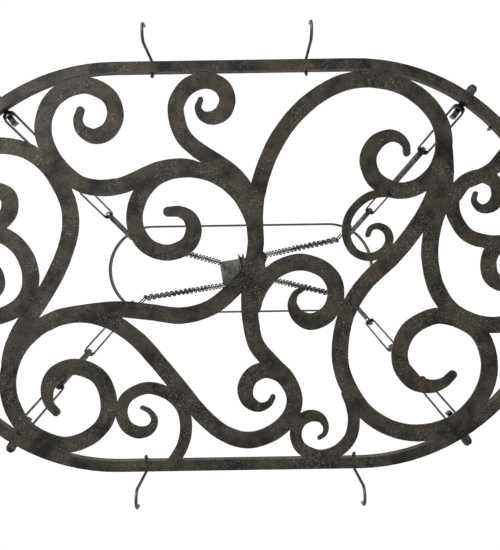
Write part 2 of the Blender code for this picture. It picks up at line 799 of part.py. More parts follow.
def rounded_tip(row, direction):
    point, way, width = row
    made = []
    for angle in (80, 50, 25):
        reach = width * math.sin(math.radians(angle))
        made.append((point + way * direction * reach, way, width * math.cos(math.radians(angle))))
    return made if direction < 0 else made[::-1]


def scroll_band(bm, rows, wider, low, high):
    sections = []
    for point, way, width in rows:
        side = Vector((-way.y, way.x, 0)) * (width + wider)
        left = point + side
        right = point - side
        sections.append([right + UP * low, left + UP * low, left + UP * high, right + UP * high])
    return loft(bm, sections)


def near(rows, others):
    """Whether two scrolls come close enough to need trimming."""
    for point, _, width in rows:
        for other, _, other_width in others:
            if (point - other).length < width + other_width + SCROLL_REACH / 2:
                return True
    return False


def keep_main_piece(obj):
    """Applies the trimming and drops the offcuts beyond the pieces that a scroll ends on."""
    graph = bpy.context.evaluated_depsgraph_get()
    mesh = bpy.data.meshes.new_from_object(obj.evaluated_get(graph))
    obj.modifiers.clear()
    bm = bmesh.new()
    bm.from_mesh(mesh)
    islands = []
    left = set(bm.verts)
    while left:
        island = {left.pop()}
        edge = list(island)
        while edge:
            vert = edge.pop()
            for link in vert.link_edges:
                other = link.other_vert(vert)
                if other in left:
                    left.discard(other)
                    island.add(other)
                    edge.append(other)
        islands.append(island)
    main = max(islands, key=lambda island: sum(face.calc_area() for v in island for face in v.link_faces))
    offcuts = [vert for vert in bm.verts if vert not in main]
    bmesh.ops.delete(bm, geom=offcuts, context="VERTS")
    bm.to_mesh(mesh)
    bm.free()
    obj.data = mesh


def make_scrolls(parent):
    low = RING_UNDER
    high = low + SCROLL_THICK
    bore = [(p.x, p.y) for p in stadium(RING_INNER_RADIUS - GAP, RING_STRAIGHT)]
    inside = cutter("ring_inside", prism(bmesh.new(), bore, low - SCROLL_THICK, high + SCROLL_THICK))
    laid = []
    for name, tip, full, length, far_tip, places in SCROLLS:
        rows = scroll_sections(tip, full, length, far_tip, places)
        scroll = add(name, scroll_band(bmesh.new(), rows, 0, low, high), MATERIALS["iron"], parent)
        boolean(scroll, inside, "INTERSECT")
        for other, other_rows, trimmer in laid:
            if near(rows, other_rows):
                boolean(scroll, trimmer, "DIFFERENCE")
        keep_main_piece(scroll)
        wide = scroll_band(bmesh.new(), rows, GAP, low - SCROLL_THICK, high + SCROLL_THICK)
        laid.append((name, rows, cutter(f"{name}_trim", wide)))


# ---------------------------------------------------------------- pot hooks


def pot_place(kind, place, side):
    """Middle of the top of the bar, and the level direction out of the ring."""
    if kind == "straight":
        return Vector((place, side * RING_MIDDLE_RADIUS, RING_TOP)), Vector((0, side, 0))
    out = Vector((side * math.cos(place), math.sin(place), 0))
    end = Vector((side * RING_STRAIGHT / 2, 0, RING_TOP))
    return end + out * RING_MIDDLE_RADIUS, out


def make_pot_hook(number, kind, place, side, parent):
    top, out = pot_place(kind, place, side)
    across = out.cross(UP)
    inside = POT_BEND - POT_WIRE / 2 - 3 * GAP
    centre = -math.sqrt(inside**2 - (RING_BAR / 2) ** 2)  # the bend rests on the bar's corners
    foot = -RING_DEPTH - POT_DROP + POT_WIRE / 2
    outline = [(-POT_BEND, SCROLL_THICK + POT_TIP_ABOVE - RING_DEPTH), (-POT_BEND, centre * 1.05)]
    for i in range(1, 8):
        angle = math.pi * (1 - i / 8)
        outline.append((POT_BEND * math.cos(angle), centre + POT_BEND * math.sin(angle)))
    outline += [(POT_BEND, centre), (POT_BEND, (centre + foot) / 2)]
    low = foot + POT_LOWER_BEND
    for i in range(0, 8):
        angle = math.pi * (1 + i / 7)
        x = POT_BEND + POT_LOWER_BEND * (1 + math.cos(angle))
        outline.append((x, low + POT_LOWER_BEND * math.sin(angle)))
    outline.append((POT_BEND + 2.05 * POT_LOWER_BEND, low + POT_LOWER_BEND * 0.7))
    points = [top + out * x + UP * z for x, z in outline]
    bm = tube(bmesh.new(), points, POT_WIRE / 2, HOOK_SIDES, False, across)
    add(f"pot_hook_{number}", bm, MATERIALS["hook"], parent, top + UP * centre, smooth=60)


# ---------------------------------------------------------------- build

clear_scene()
MATERIALS = {
    "iron": material("dark_iron", (0.048, 0.041, 0.034), 0.55, 0.6),
    "strip": material("strip_steel", (0.16, 0.155, 0.15), 0.5, 0.7),
    "chain": material("chain_steel", (0.05, 0.048, 0.045), 0.4, 0.8),
    "plate": material("plate_steel", (0.115, 0.115, 0.105), 0.6, 0.6),
    "dark": material("pulley_iron", (0.03, 0.03, 0.03), 0.5, 0.6),
    "hook": material("hook_steel", (0.035, 0.035, 0.035), 0.4, 0.8),
}

ceiling = empty("ceiling", Vector((0, 0, 0)))
make_plate(ceiling)
make_screws(ceiling)
make_eyes(ceiling)
make_axle(ceiling, make_bracket(ceiling))
make_sheave(ceiling)

hanging = empty("hanging", Vector((0, 0, -HOOP_DROP)), ceiling)
make_hoop(hanging)
rack = empty("rack", Vector((0, 0, RING_UNDER)), hanging)
for index, place in enumerate(CORNERS, 1):
    make_chain(index, place, ceiling)
    make_hoop_hook(index, place, hanging)
    make_run(index, place, hanging)
    make_lug(index, place, rack)
make_ring(rack)
make_scrolls(rack)
for index, (kind, where, side) in enumerate(POT_PLACES, 1):
    make_pot_hook(index, kind, where, side, rack)
bpy.context.view_layer.update()
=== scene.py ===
"""Oval scroll-work pot rack on chains, seen from straight below."""

import math

import bpy
from mathutils import Matrix, Vector


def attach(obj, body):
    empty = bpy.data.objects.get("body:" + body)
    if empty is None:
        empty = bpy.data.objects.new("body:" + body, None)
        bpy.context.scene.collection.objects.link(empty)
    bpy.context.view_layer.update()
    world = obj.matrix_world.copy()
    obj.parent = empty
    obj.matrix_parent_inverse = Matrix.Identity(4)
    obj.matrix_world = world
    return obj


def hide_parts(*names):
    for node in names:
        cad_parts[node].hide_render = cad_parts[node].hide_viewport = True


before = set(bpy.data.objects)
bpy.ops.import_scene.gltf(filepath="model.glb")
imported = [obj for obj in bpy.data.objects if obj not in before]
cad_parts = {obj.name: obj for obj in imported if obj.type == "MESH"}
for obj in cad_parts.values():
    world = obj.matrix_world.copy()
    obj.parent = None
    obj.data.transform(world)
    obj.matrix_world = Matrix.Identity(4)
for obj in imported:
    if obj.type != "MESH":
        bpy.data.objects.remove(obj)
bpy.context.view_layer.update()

UP = Vector((0, 0, 1))
MM = 0.001
GAP = 0.0003  # between pieces that rest on each other


# ---------------------------------------------------------------- camera, light and backdrop


def set_camera():
    """Straight up from below the rack, turned a little so that the long sides rise to the right."""
    turn = 0.0155
    lens = bpy.data.cameras.new("camera")
    lens.lens = 42.5
    lens.clip_start = 0.05
    camera = bpy.data.objects.new("camera", lens)
    bpy.context.scene.collection.objects.link(camera)
    camera.location = (0.0206, 0.0151, -2.105)
    camera.rotation_euler = (math.pi, 0, turn)
    bpy.context.scene.camera = camera


def set_light():
    world = bpy.data.worlds.new("pale_room")
    bpy.context.scene.world = world
    world.use_nodes = True
    world.node_tree.nodes["Background"].inputs["Color"].default_value = (1, 1, 1, 1)
    world.node_tree.nodes["Background"].inputs["Strength"].default_value = 1.05
    bpy.context.scene.view_settings.view_transform = "Standard"
    lamps = (
        ("window_light", (-2.3, -2.0, -2.5), 2.0, 230),
        ("room_light", (2.6, 2.1, -2.9), 3.0, 14),
    )
    for name, place, size, power in lamps:
        lamp = bpy.data.lights.new(name, "AREA")
        lamp.size = size
        lamp.energy = power
        obj = bpy.data.objects.new(name, lamp)
        bpy.context.scene.collection.objects.link(obj)
        obj.location = place
        aim = Vector((0, 0, -1.0)) - Vector(place)
        obj.rotation_euler = aim.to_track_quat("-Z", "Y").to_euler()


def lay_floor():
    bpy.ops.mesh.primitive_plane_add(size=14, location=(0, 0, -3.6))
    floor = bpy.context.object
    floor.name = "floor"
    paint = bpy.data.materials.new("pale_floor")
    paint.use_nodes = True
    shader = paint.node_tree.nodes["Principled BSDF"]
    shader.inputs["Base Color"].default_value = (0.82, 0.82, 0.81, 1)
    shader.inputs["Roughness"].default_value = 0.9
    floor.data.materials.append(paint)


# ---------------------------------------------------------------- finishes


def mottled(name, dark, middle, light, speck_and_highlight, metallic, rough, bump, scale=1.0, edge=0.5):
    """Metal whose colour wanders between three tones in patches, with fine light specks and a painted
    highlight on its edges.
    """
    made = bpy.data.materials.new(name)
    made.use_nodes = True
    nodes = made.node_tree.nodes
    links = made.node_tree.links
    shader = nodes["Principled BSDF"]
    place = nodes.new("ShaderNodeTexCoord")

    def noise(size, detail, roughness, offset):
        shift = nodes.new("ShaderNodeMapping")
        shift.inputs["Location"].default_value = (offset, offset * 0.7, offset * 0.3)
        links.new(place.outputs["Object"], shift.inputs["Vector"])
        grain = nodes.new("ShaderNodeTexNoise")
        grain.inputs["Scale"].default_value = size * scale
        grain.inputs["Detail"].default_value = detail
        grain.inputs["Roughness"].default_value = roughness
        links.new(shift.outputs["Vector"], grain.inputs["Vector"])
        return grain.outputs["Fac"]

    def stops(value, low, high, first, last):
        ramp = nodes.new("ShaderNodeValToRGB")
        ramp.color_ramp.elements[0].position = low
        ramp.color_ramp.elements[0].color = (*first, 1)
        ramp.color_ramp.elements[1].position = high
        ramp.color_ramp.elements[1].color = (*last, 1)
        links.new(value, ramp.inputs["Fac"])
        return ramp.outputs["Color"]

    def mix(share, first, last):
        blend = nodes.new("ShaderNodeMix")
        blend.data_type = "RGBA"
        links.new(share, blend.inputs["Factor"])
        for value, socket in ((first, blend.inputs[6]), (last, blend.inputs[7])):
            if isinstance(value, tuple):
                socket.default_value = (*value, 1)
            else:
                links.new(value, socket)
        return blend.outputs[2]

    patches = stops(noise(22, 5, 0.66, 0.0), 0.39, 0.6, dark, middle)
    stain = stops(noise(45, 4, 0.6, 3.1), 0.5, 0.66, (0, 0, 0), (0.8, 0.8, 0.8))
    colour = mix(stain, patches, light)
    fleck = stops(noise(620, 2, 0.7, 7.7), 0.57, 0.68, (0, 0, 0), (0.85, 0.85, 0.85))
    dusty = stops(noise(30, 2, 0.5, 9.4), 0.4, 0.62, (0.1, 0.1, 0.1), (1, 1, 1))
    fleck = mix(dusty, (0, 0, 0), fleck)
    colour = mix(fleck, colour, speck_and_highlight)
    pits = stops(noise(240, 2, 0.6, 5.2), 0.28, 0.4, (0.7, 0.7, 0.7), (0, 0, 0))
    colour = mix(pits, colour, tuple(c * 0.45 for c in dark))
    # Edges picked out by pointiness are painted in the speck tone: a painted highlight along the edges,
    # not wear.
    if edge:
        corner = nodes.new("ShaderNodeNewGeometry")
        painted_edge_highlight = stops(corner.outputs["Pointiness"], 0.52, 0.6, (0, 0, 0), (edge, edge, edge))
        colour = mix(painted_edge_highlight, colour, speck_and_highlight)
    links.new(colour, shader.inputs["Base Color"])
    gloss = stops(noise(70, 3, 0.6, 1.3), 0.3, 0.7, (rough - 0.1,) * 3, (rough + 0.12,) * 3)
    links.new(gloss, shader.inputs["Roughness"])
    shader.inputs["Metallic"].default_value = metallic
    shader.inputs["Specular IOR Level"].default_value = 0.25
    dents = nodes.new("ShaderNodeBump")
    dents.inputs["Strength"].default_value = bump
    dents.inputs["Distance"].default_value = 0.0008
    links.new(noise(160, 4, 0.6, 2.2), dents.inputs["Height"])
    links.new(dents.outputs["Normal"], shader.inputs["Normal"])
    return made


# ---------------------------------------------------------------- making pieces


def only(obj):
    bpy.ops.object.select_all(action="DESELECT")
    obj.select_set(True)
    bpy.context.view_layer.objects.active = obj


def settle(obj):
    """Applies the modifiers in order."""
    only(obj)
    for name in [modifier.name for modifier in obj.modifiers]:
        bpy.ops.object.modifier_apply(modifier=name)


def edit(obj, mode="VERT"):
    only(obj)
    bpy.ops.object.mode_set(mode="EDIT")
    bpy.ops.mesh.select_mode(type=mode)
    bpy.ops.mesh.select_all(action="SELECT")


def face_outward(obj):
    edit(obj)
    bpy.ops.mesh.remove_doubles(threshold=0.00001)
    bpy.ops.mesh.normals_make_consistent(inside=False)
    bpy.ops.object.mode_set(mode="OBJECT")


def line(points, radii=None, closed=False, tilt=0):
    """A curve through the points, still to be given its thickness."""
    bpy.ops.object.select_all(action="DESELECT")
    bpy.ops.curve.primitive_bezier_curve_add(radius=1, location=(0, 0, 0))
    obj = bpy.context.object
    curve = obj.data
    curve.dimensions = "3D"
    curve.splines.clear()
    spline = curve.splines.new("POLY")
    spline.points.add(len(points) - 1)
    for i, point in enumerate(points):
        spline.points[i].co = (*point, 1)
        spline.points[i].radius = radii[i] if radii else 1
        spline.points[i].tilt = tilt
    spline.use_cyclic_u = closed
    return obj


def to_mesh(obj):
    only(obj)
    bpy.ops.object.convert(target="MESH")
    return bpy.context.object


def ribbon(points, half_height, thick, closed, soft, radii=None, tilt=0):
    """A strip swept along the points: half_height either way along Z, or level if it is tilted."""
    obj = line(points, radii, closed, tilt)
    obj.data.twist_mode = "Z_UP"
    obj.data.extrude = half_height
    obj = to_mesh(obj)
    wall = obj.modifiers.new("wall", "SOLIDIFY")
    wall.thickness = thick
    wall.offset = 0
    wall.use_even_offset = True
    if soft:
        corner = obj.modifiers.new("corner", "BEVEL")
        corner.width = soft
        corner.segments = 2
        corner.limit_method = "ANGLE"
        corner.angle_limit = math.radians(42)
        corner.use_clamp_overlap = False
    settle(obj)
    face_outward(obj)
    return obj


def wire(points, radius):
    """Round wire along the points, with its free ends rounded off."""
    points = [Vector(p) for p in points]
    radii = [1.0] * len(points)
    first = (points[0] - points[1]).normalized()
    last = (points[-1] - points[-2]).normalized()
    for angle, reach in ((30, 0.5), (60, 0.866), (80, 0.985)):
        share = math.cos(math.radians(angle))
        points.insert(0, points[0] + first * radius * reach * 0.33)
        points.append(points[-1] + last * radius * reach * 0.33)
        radii.insert(0, share)
        radii.append(share)
    obj = line(points, radii)
    obj.data.bevel_depth = radius
    obj.data.bevel_resolution = 3
    obj.data.use_fill_caps = True
    obj.data.twist_mode = "MINIMUM"
    obj = to_mesh(obj)
    face_outward(obj)
    return obj


def copy_of(obj, where):
    made = bpy.data.objects.new(obj.name, obj.data.copy())
    bpy.context.scene.collection.objects.link(made)
    made.data.transform(where)
    return made


def joined(pieces):
    bpy.ops.object.select_all(action="DESELECT")
    for piece in pieces:
        piece.select_set(True)
    bpy.context.view_layer.objects.active = pieces[0]
    if len(pieces) > 1:
        bpy.ops.object.join()
    return bpy.context.view_layer.objects.active


def combine(obj, other, operation):
    cut = obj.modifiers.new("combine", "BOOLEAN")
    cut.operation = operation
    cut.solver = "EXACT"
    cut.object = other
    settle(obj)
    bpy.data.objects.remove(other)


def finish_piece(obj, name, material, body, nodes, smooth):
    """Names and paints a piece, and says which body it rides on and which nodes it stands in for."""
    obj.name = name
    obj.data.name = name
    obj.data.materials.clear()
    obj.data.materials.append(material)
    for face in obj.data.polygons:
        face.material_index = 0
    only(obj)
    bpy.ops.object.shade_smooth_by_angle(angle=math.radians(smooth))
    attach(obj, body)
    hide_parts(*nodes)
    return obj


def smooth_curve(points, pieces=12):
    """A centripetal Catmull-Rom curve through the points."""
    ends = [2 * points[0] - points[1], *points, 2 * points[-1] - points[-2]]
    curve = []
    for i in range(1, len(ends) - 2):
        p = ends[i - 1 : i + 3]
        t = [0]
        for a, b in zip(p, p[1:]):
            t.append(t[-1] + (b - a).length ** 0.5)
        for k in range(pieces):
            x = t[1] + (t[2] - t[1]) * k / pieces
            a = [p[j].lerp(p[j + 1], (x - t[j]) / (t[j + 1] - t[j])) for j in range(3)]
            b = [a[j].lerp(a[j + 1], (x - t[j]) / (t[j + 2] - t[j])) for j in range(2)]
            curve.append(b[0].lerp(b[1], (x - t[1]) / (t[2] - t[1])))
    curve.append(points[-1])
    return curve


def oval(radius, straight, height, steps=40):
    points = []
    for end in (1, -1):
        for i in range(steps + 1):
            angle = math.pi * (i / steps - 0.5) + (0 if end > 0 else math.pi)
            x = end * straight / 2 + radius * math.cos(angle)
            points.append(Vector((x, radius * math.sin(angle), height)))
    return points


# ---------------------------------------------------------------- sizes and shared places

PLATE_LENGTH, PLATE_WIDTH, PLATE_THICK = 0.145, 0.080, 0.005
PLATE_TURN = math.radians(-8.5)
PLATE_LONG = Vector((math.cos(PLATE_TURN), math.sin(PLATE_TURN), 0))
PLATE_CROSS = Vector((-math.sin(PLATE_TURN), math.cos(PLATE_TURN), 0))
EYE_INSET, EYE_RADIUS, EYE_WIRE = 0.003, 0.0072, 0.0032
AXLE_CENTRE = Vector((0, 0, -0.067))
HOOP_RADIUS, HOOP_STRAIGHT, HOOP_HEIGHT, HOOP_THICK, HOOP_DROP = 0.100, 0.400, 0.024, 0.003, 0.620
HOOP_MIDDLE = HOOP_RADIUS - HOOP_THICK / 2
HOOP_ANGLE = math.radians(56)
HOOK_SHIFT = 0.0075
HOOK_ANGLE = HOOP_ANGLE + HOOK_SHIFT / HOOP_MIDDLE
HOOK_WIRE, HOOK_HALF, HOOK_BEND, HOOK_RISE, HOOK_LEAN = 0.0033, 0.009, 0.0085, 0.046, 0.022
HOOK_SIDE_LEAN = 0.020
CHAIN_WIRE, CHAIN_WIDE, CHAIN_LINKS = 0.0036, 0.0195, 37
RACK_DROP, RING_RADIUS, RING_STRAIGHT, RING_BAR, RING_DEPTH = 1.140, 0.305, 0.356, 0.016, 0.014
RING_MIDDLE = RING_RADIUS - RING_BAR / 2
RING_INNER = RING_RADIUS - RING_BAR
RING_TOP = RING_DEPTH - RACK_DROP
LUG_ANGLES = (math.radians(55), math.radians(58.4))
LUG_WIDTH, LUG_THICK, LUG_OUTSIDE, LUG_INSIDE = 0.014, 0.004, 0.020, 0.022
TONGUE_WIDTH, TONGUE_STOP, LINK_SEAT = 0.0085, 0.008, 0.009
LINK_BELOW_SEAT, LINK_OVER_HOOP = 0.0061, 0.0182
FLAT_LINKS, FLAT_WIDTH, FLAT_THICK, FLAT_WIDE = 4, 0.0202, 0.003, 0.008
SCROLL_THICK = 0.005
CORNERS = ((1, -1), (1, 1), (-1, -1), (-1, 1))


def outward(corner, angle):
    return Vector((corner[0] * math.cos(angle), corner[1] * math.sin(angle), 0))


def hoop_place(corner, angle):
    return Vector((corner[0] * HOOP_STRAIGHT / 2, 0, -HOOP_DROP)) + outward(corner, angle) * HOOP_MIDDLE


def lug_angle(corner):
    return LUG_ANGLES[0] if corner[1] < 0 else LUG_ANGLES[1]


def ring_place(corner, radius, height):
    end = Vector((corner[0] * RING_STRAIGHT / 2, 0, height))
    return end + outward(corner, lug_angle(corner)) * radius


def eye_centre(corner):
    along = PLATE_LONG * corner[0] * (PLATE_LENGTH / 2 - EYE_INSET)
    across = PLATE_CROSS * corner[1] * (PLATE_WIDTH / 2 - EYE_INSET)
    return along + across - UP * (PLATE_THICK + EYE_RADIUS + EYE_WIRE / 2)


def chain_line(corner):
    start = eye_centre(corner)
    end = hoop_place(corner, HOOK_ANGLE) + UP * (HOOP_HEIGHT / 2 + HOOK_RISE)
    end -= Vector((corner[0] * HOOK_LEAN, corner[1] * HOOK_SIDE_LEAN, 0))
    along = (end - start).normalized()
    return start + along * EYE_RADIUS, end, along


def run_line(corner):
    seat = ring_place(corner, RING_INNER - LINK_SEAT, RING_TOP)
    hoop = hoop_place(corner, HOOP_ANGLE)
    along = (hoop - seat).normalized()
    return seat - along * LINK_BELOW_SEAT, hoop + along * LINK_OVER_HOOP, along


def stand(centre, along, wide):
    """The turn that lays a link's length on one direction and its width on another."""
    wide = (wide - along * wide.dot(along)).normalized()
    side = along.cross(wide)
    return Matrix.Translation(centre) @ Matrix((along, wide, side)).transposed().to_4x4()


# ---------------------------------------------------------------- scroll work and ring

# Name, half width at the tip, half width, length of the taper, half width at the far tip
# (0 where it ends on another piece), and the points that the centre line runs through, in mm.
# The points were measured and converted to mm, not worked out from driving sizes.
SCROLLS = (
    ("scroll_arch", 5.2, 12.3, 74, 0.0, (
        (257, -163), (256, -174), (247, -185), (232, -189), (211, -179), (199, -156), (207, -127),
        (227, -112), (250, -107), (277, -115), (300, -136), (312, -169), (309, -203), (289, -236),
        (252, -263), (206, -274), (163, -269), (123, -249), (88, -218), (62, -182), (44, -143),
        (32, -100), (29, -63), (30, -32), (24, 5), (19, 43), (20, 78), (28, 118), (48, 144),
        (72, 169), (82, 188),
    )),
    ("scroll_inner_left", 7.4, 12.2, 59, 0.0, (
        (-100, -81), (-83, -81), (-68, -72), (-62, -54), (-71, -32), (-101, -20), (-131, -30),
        (-148, -56), (-149, -84), (-136, -114), (-111, -136), (-74, -144), (-32, -136), (2, -111),
        (19, -86), (32, -51),
    )),
    ("scroll_long", 4.0, 12.0, 67, 5.9, (
        (52, 197), (46, 207), (31, 212), (15, 202), (11, 184), (21, 165), (41, 157), (64, 164),
        (80, 184), (84, 206), (74, 231), (48, 252), (14, 261), (-20, 251), (-52, 225), (-85, 184),
        (-118, 143), (-150, 107), (-190, 80), (-236, 70), (-282, 81), (-321, 112), (-341, 154),
        (-340, 195), (-319, 236), (-285, 258), (-257, 264), (-222, 253), (-198, 229), (-193, 196),
        (-207, 163), (-240, 148), (-268, 155), (-283, 177), (-282, 201), (-271, 215),
    )),
    ("scroll_bottom_right", 6.4, 12.2, 67, 0.0, (
        (320, 168), (308, 179), (288, 185), (262, 178), (245, 157), (242, 130), (255, 102),
        (278, 86), (302, 80), (333, 88), (361, 108), (374, 141), (373, 174), (357, 208), (323, 240),
        (275, 254), (234, 249), (195, 227), (169, 193), (155, 158), (153, 124), (164, 74),
        (191, 31), (235, -10), (259, -38), (282, -71), (299, -105), (310, -139),
    )),
    ("scroll_low_link", 12.2, 12.2, 15, 0.0, (
        (34, -10), (21, 9), (-1, 33), (-37, 62), (-81, 74), (-129, 68), (-176, 63), (-224, 67),
        (-262, 73), (-292, 86),
    )),
    ("scroll_top_left", 5.9, 12.2, 67, 0.0, (
        (-228, -234), (-232, -220), (-227, -205), (-208, -195), (-187, -203), (-176, -227),
        (-185, -254), (-217, -271), (-247, -266), (-269, -251), (-282, -226), (-284, -200),
        (-275, -172), (-256, -145), (-231, -125), (-203, -118), (-169, -121), (-141, -132),
        (-112, -144), (-81, -148), (-52, -143),
    )),
    ("scroll_top", 4.2, 12.2, 62, 0.0, (
        (-49, -247), (-53, -235), (-46, -223), (-31, -220), (-16, -228), (-9, -247), (-17, -266),
        (-40, -276), (-68, -267), (-85, -242), (-85, -220), (-76, -194), (-58, -175), (-33, -158),
        (-8, -141), (11, -120), (22, -96),
    )),
    ("scroll_inner_right", 3.9, 12.5, 74, 0.0, (
        (100, 36), (88, 44), (83, 59), (91, 77), (110, 86), (134, 76), (147, 54), (146, 29),
        (131, 9), (97, -3), (65, 5), (43, 23), (29, 46), (21, 73),
    )),
    ("scroll_left", 12.2, 12.2, 15, 0.0, (
        (-440, -139), (-419, -159), (-392, -176), (-363, -183), (-333, -182), (-305, -173),
        (-278, -151), (-258, -120), (-247, -90), (-246, -56), (-257, -17), (-277, 24), (-301, 61),
        (-323, 93), (-336, 124), (-341, 152),
    )),
    ("scroll_bottom_left", 3.0, 8.9, 67, 0.0, (
        (-143, 210), (-133, 215), (-125, 228), (-131, 242), (-148, 247), (-166, 238), (-174, 217),
        (-166, 195), (-136, 181), (-104, 190), (-84, 211), (-78, 238), (-83, 266), (-103, 300),
    )),
    ("scroll_bottom", 3.0, 8.9, 59, 0.0, (
        (120, 259), (128, 253), (130, 242), (123, 230), (109, 226), (93, 233), (85, 252), (92, 273),
        (119, 286), (147, 279), (166, 260), (172, 234), (169, 211), (160, 187),
    )),
    ("scroll_slim", 3.9, 6.2, 52, 0.0, (
        (197, -42), (201, -51), (212, -55), (225, -48), (229, -34), (222, -19), (201, -9),
        (178, -16), (166, -36), (167, -64), (180, -85), (201, -100), (226, -104), (248, -100),
    )),
    ("scroll_right", 12.3, 12.3, 15, 0.0, (
        (313, -166), (314, -129), (309, -96), (296, -59), (289, -22), (290, 6), (298, 39),
        (318, 70), (352, 90), (389, 95), (428, 84), (461, 59),
    )),
    ("scroll_right_small", 3.6, 10.1, 62, 0.0, (
        (358, -101), (356, -90), (366, -79), (381, -81), (392, -96), (388, -117), (369, -127),
        (343, -120), (326, -99), (324, -77), (332, -56), (346, -39), (370, -30), (398, -29),
        (431, -38), (473, -54),
    )),
    ("scroll_right_brace", 10.7, 10.7, 15, 0.0, (
        (328, -99), (342, -117), (361, -125), (384, -137), (402, -157), (419, -176),
    )),
    ("scroll_right_end", 4.5, 11.6, 67, 0.0, (
        (398, 5), (408, -1), (418, 9), (414, 27), (397, 34), (381, 25), (376, 7), (380, -12),
        (397, -29),
    )),
    ("scroll_left_small", 4.5, 12.2, 59, 0.0, (
        (-368, -86), (-379, -93), (-376, -109), (-358, -117), (-338, -108), (-337, -85),
        (-352, -68), (-379, -62), (-416, -70), (-447, -86), (-474, -107),
    )),
    ("scroll_left_end", 5.6, 12.3, 134, 0.0, (
        (-376, 36), (-364, 40), (-354, 32), (-352, 18), (-358, 3), (-376, -7), (-399, -7),
        (-422, 8), (-430, 32), (-415, 57), (-378, 73), (-335, 64), (-313, 44), (-306, 19),
        (-309, -6), (-320, -28), (-338, -45), (-364, -55), (-406, -55), (-448, -44), (-475, -33),
    )),
)


def taper(distance, length, tip, full):
    share = min(max(distance / length, 0), 1)
    return tip + (full - tip) * share * share * (3 - 2 * share)


def scroll_rows(tip, full, length, far_tip, places):
    """Centre and half width along one scroll, closer together where it turns, with round tips."""
    curve = smooth_curve([Vector((x * MM, y * MM, 0)) for x, y in places], 16)
    run = [0]
    for a, b in zip(curve, curve[1:]):
        run.append(run[-1] + (b - a).length)
    rows = []
    last = None
    for i, point in enumerate(curve):
        way = (curve[min(i + 1, len(curve) - 1)] - curve[max(i - 1, 0)]).normalized()
        if last is not None and i < len(curve) - 1:
            if way.angle(last[0]) < math.radians(5) and run[i] - last[1] < 0.014:
                continue
        width = taper(run[i], length * MM, tip * MM, full * MM)
        if far_tip:
            width = min(width, taper(run[-1] - run[i], length * MM, far_tip * MM, full * MM))
        width *= 1 + 0.012 * math.sin(run[i] * 95 + full) + 0.01 * math.sin(run[i] * 213)
        rows.append((point, way, width))
        last = (way, run[i])
    ends = [(rows[0], -1)]
    if far_tip:
        ends.append((rows[-1], 1))
    else:
        way = (curve[-1] - curve[-3]).normalized()
        far = rows[-1][2]
        while (curve[-1] - rows[-1][0]).length < far * 0.8:
            rows.pop()
        for angle in (0, 25, 45, 62, 76):
            reach = way * far * 0.7 * (math.sin(math.radians(angle)) - 1)
            rows.append((curve[-1] + reach, way, far * math.cos(math.radians(angle))))
    for (point, way, width), direction in ends:
        round_end = []
        for angle in (15, 32, 48, 62, 74):
            reach = way * direction * width * math.sin(math.radians(angle))
            round_end.append((point + reach, way, width * math.cos(math.radians(angle))))
        rows = round_end[::-1] + rows if direction < 0 else rows + round_end
    return rows


def rim_inside():
    """A block that fills the rim up to the middle of its bar, for trimming the scrolls' ends."""
    bpy.ops.object.select_all(action="DESELECT")
    bpy.ops.mesh.primitive_cylinder_add(
        vertices=90, radius=RING_MIDDLE, depth=0.04, location=(0, 0, -RACK_DROP), rotation=(0, 0, 0.03)
    )
    inside = bpy.context.object
    bpy.ops.object.transform_apply(location=True, rotation=True)
    for side in (-1, 1):
        for group in (inside.data.edges, inside.data.polygons):
            for item in group:
                item.select = False
        for vert in inside.data.vertices:
            vert.select = vert.co.x * side > 0
        only(inside)
        bpy.ops.object.mode_set(mode="EDIT")
        bpy.ops.transform.translate(value=(side * RING_STRAIGHT / 2, 0, 0))
        bpy.ops.object.mode_set(mode="OBJECT")
    return inside


def reaches_rim(points, half):
    for point in points:
        x = max(abs(point.x) - RING_STRAIGHT / 2, 0)
        if math.hypot(x, point.y) + half > RING_MIDDLE:
            return True
    return False


def make_grille(material):
    """The scrolls lie on each other by a hair where they meet, so that the welded face reads as one."""
    bands = []
    for number, (name, tip, full, length, far_tip, places) in enumerate(SCROLLS):
        rows = scroll_rows(tip, full, length, far_tip, places)
        inset = 0.00003 + 0.00002 * number
        middle = -RACK_DROP + SCROLL_THICK / 2
        points = [Vector((p.x, p.y, middle)) for p, _, _ in rows]
        radii = [width / (full * MM) for _, _, width in rows]
        thick = SCROLL_THICK - 2 * inset
        band = ribbon(points, full * MM, thick, False, 0, radii, math.pi / 2)
        if reaches_rim(points, full * MM):
            combine(band, rim_inside(), "INTERSECT")
            face_outward(band)
        bands.append(band)
    grille = joined(bands)
    names = [entry[0] for entry in SCROLLS]
    finish_piece(grille, "scroll_grille", material, "rack", names, 30)


def make_ring(material):
    middle = -RACK_DROP + RING_DEPTH / 2
    path = oval(RING_MIDDLE, RING_STRAIGHT, middle, 48)
    ring = ribbon(path, RING_DEPTH / 2, RING_BAR, True, 0)
    finish_piece(ring, "rim", material, "rack", ["rack_ring"], 30)


# ---------------------------------------------------------------- hoop, lugs and flat links


def make_hoop(material):
    path = oval(HOOP_MIDDLE, HOOP_STRAIGHT, -HOOP_DROP)
    hoop = ribbon(path, HOOP_HEIGHT / 2, HOOP_THICK, True, 0.0004)
    finish_piece(hoop, "spreader_hoop", material, "hoop", ["hoop"], 30)


